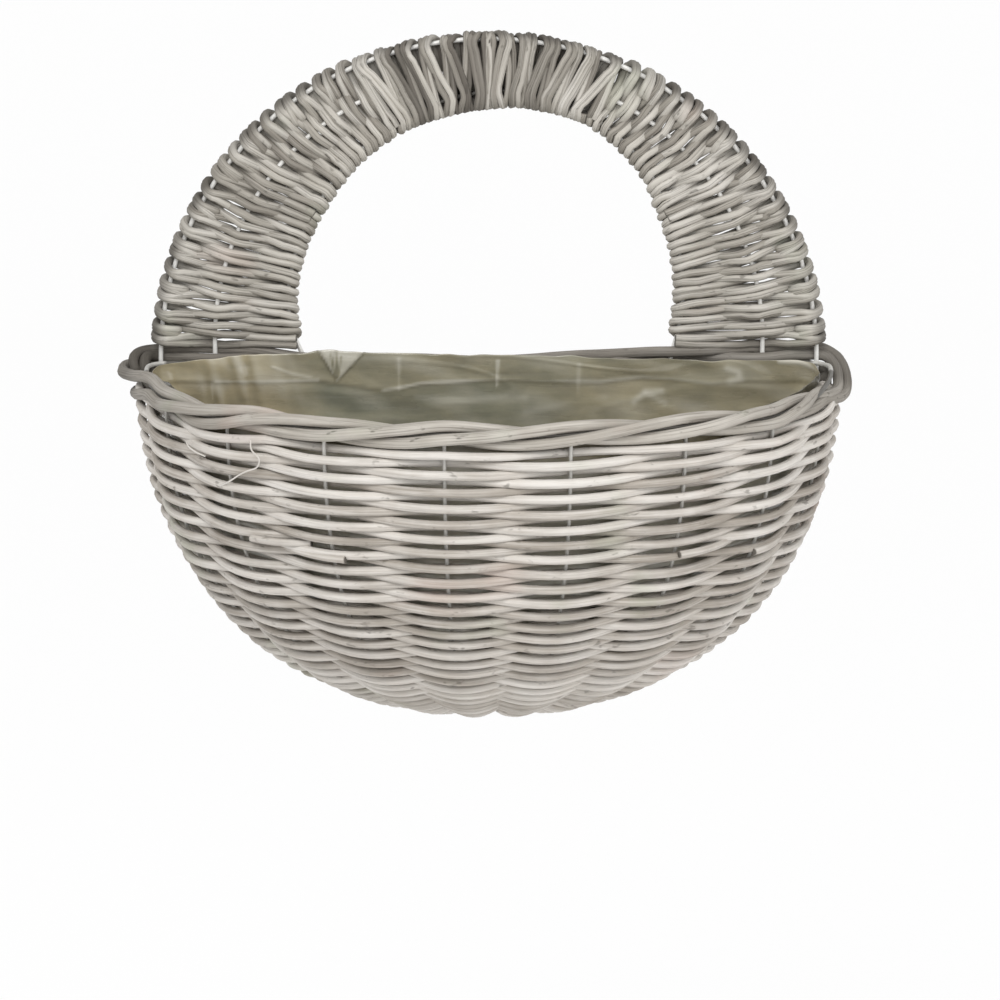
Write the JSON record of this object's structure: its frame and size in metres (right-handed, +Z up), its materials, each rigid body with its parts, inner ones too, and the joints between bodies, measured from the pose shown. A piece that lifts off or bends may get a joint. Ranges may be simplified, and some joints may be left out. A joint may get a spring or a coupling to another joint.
{
  "type": "hanging planter",
  "caption": "Half-round wicker wall planter: grey-washed willow woven on a wire frame, with an arched hanging back, a twisted border and a film liner.",
  "frame": {"origin": "place under the crown of the arched back where a wall hook bears, in the plane of the back hoop", "axes": "+X to the right as seen from the front, along the width; +Y back, into the wall; +Z up"},
  "size_m": [0.4056, 0.2094, 0.3788],
  "materials": {
    "galvanised_wire": "dull galvanised",
    "washed_willow": "grey-white wash, matt",
    "weathered_willow": "grey wash over darker willow, matt",
    "border_willow": "grey wash, matt",
    "liner_film": "thin film, glossy and slightly see-through"
  },
  "bodies": {
    "root": {"back_hoop": "galvanised_wire", "middle_arch_wire": "galvanised_wire", "inner_arch_wire": "galvanised_wire", "rim_wire": "galvanised_wire", "base_ring": "galvanised_wire", "corner_stake_left": "galvanised_wire", "stake_1": "galvanised_wire", "stake_2": "galvanised_wire", "stake_3": "galvanised_wire", "stake_4": "galvanised_wire", "stake_5": "galvanised_wire", "stake_6": "galvanised_wire", "stake_7": "galvanised_wire", "stake_8": "galvanised_wire", "corner_stake_right": "galvanised_wire", "back_stake_left": "galvanised_wire", "back_stake_middle": "galvanised_wire", "back_stake_right": "galvanised_wire", "bowl_weaver_1": "washed_willow", "bowl_weaver_2": "washed_willow", "bowl_weaver_3": "washed_willow", "bowl_weaver_4": "washed_willow", "bowl_weaver_5": "washed_willow", "bowl_weaver_6": "washed_willow", "back_weaver_1": "washed_willow", "back_weaver_2": "washed_willow", "back_weaver_3": "washed_willow", "arch_weaver_lower_left": "weathered_willow", "arch_weaver_lower_right": "weathered_willow", "arch_weaver_upper_left": "weathered_willow", "arch_weaver_upper_right": "weathered_willow", "arch_weaver_crown_left": "weathered_willow", "arch_weaver_crown_right": "weathered_willow", "border_rod_high": "border_willow", "border_rod_low": "border_willow", "border_rod_inner": "border_willow", "liner": "liner_film"}
  },
  "joints": []
}
